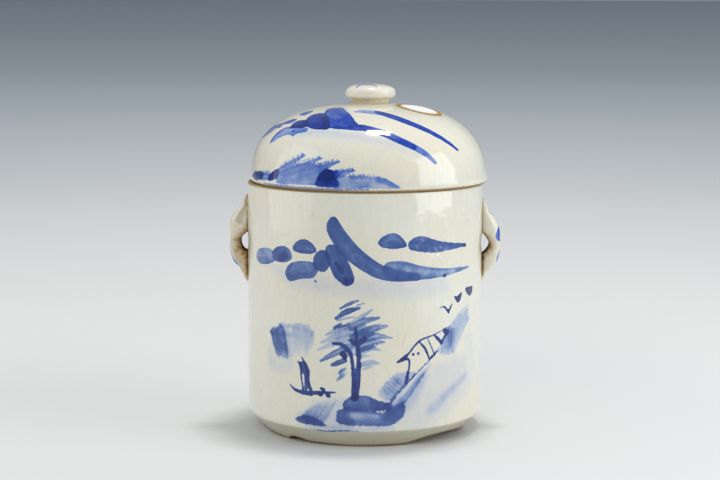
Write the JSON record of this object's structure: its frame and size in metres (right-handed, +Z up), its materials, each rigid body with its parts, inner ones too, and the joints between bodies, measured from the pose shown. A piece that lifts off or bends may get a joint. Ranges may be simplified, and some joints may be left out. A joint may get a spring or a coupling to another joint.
{
  "type": "lidded jar",
  "caption": "Covered cylindrical porcelain food jar with a loose domed lid, a button knob, two pierced side lugs and hand-painted blue landscape decoration.",
  "frame": {"origin": "on the table plane, on the axis of the jar", "axes": "+Z up along the jar's axis, -Y towards the painted front, +X towards the right lug as seen from the front"},
  "size_m": [0.1388, 0.1212, 0.1766],
  "materials": {
    "jar_glaze": "clear glaze over cobalt brushwork on off-white porcelain",
    "foot_glaze": "clear glaze, wiped to bare clay where the foot stands",
    "lug_glaze": "clear glaze, pooled and stained brown round the hole",
    "lid_glaze": "clear glaze over cobalt brushwork on off-white porcelain",
    "bare_clay": "unglazed fired clay, matt",
    "label_paper": "blank white paper sticker with an ochre printed border"
  },
  "bodies": {
    "jar": {"jar_wall": "jar_glaze", "base_disc": "jar_glaze", "foot_ring": "foot_glaze", "left_lug": "lug_glaze", "right_lug": "lug_glaze"},
    "lid": {"lid_dome": "lid_glaze", "lid_flange": "bare_clay", "lid_knob": "lid_glaze", "paper_label": "label_paper"}
  },
  "joints": [
    {"name": "lid_lift", "type": "slide", "parent": "jar", "child": "lid", "axis": [0, 0, 1], "range_m": [0, 0.06]}
  ]
}
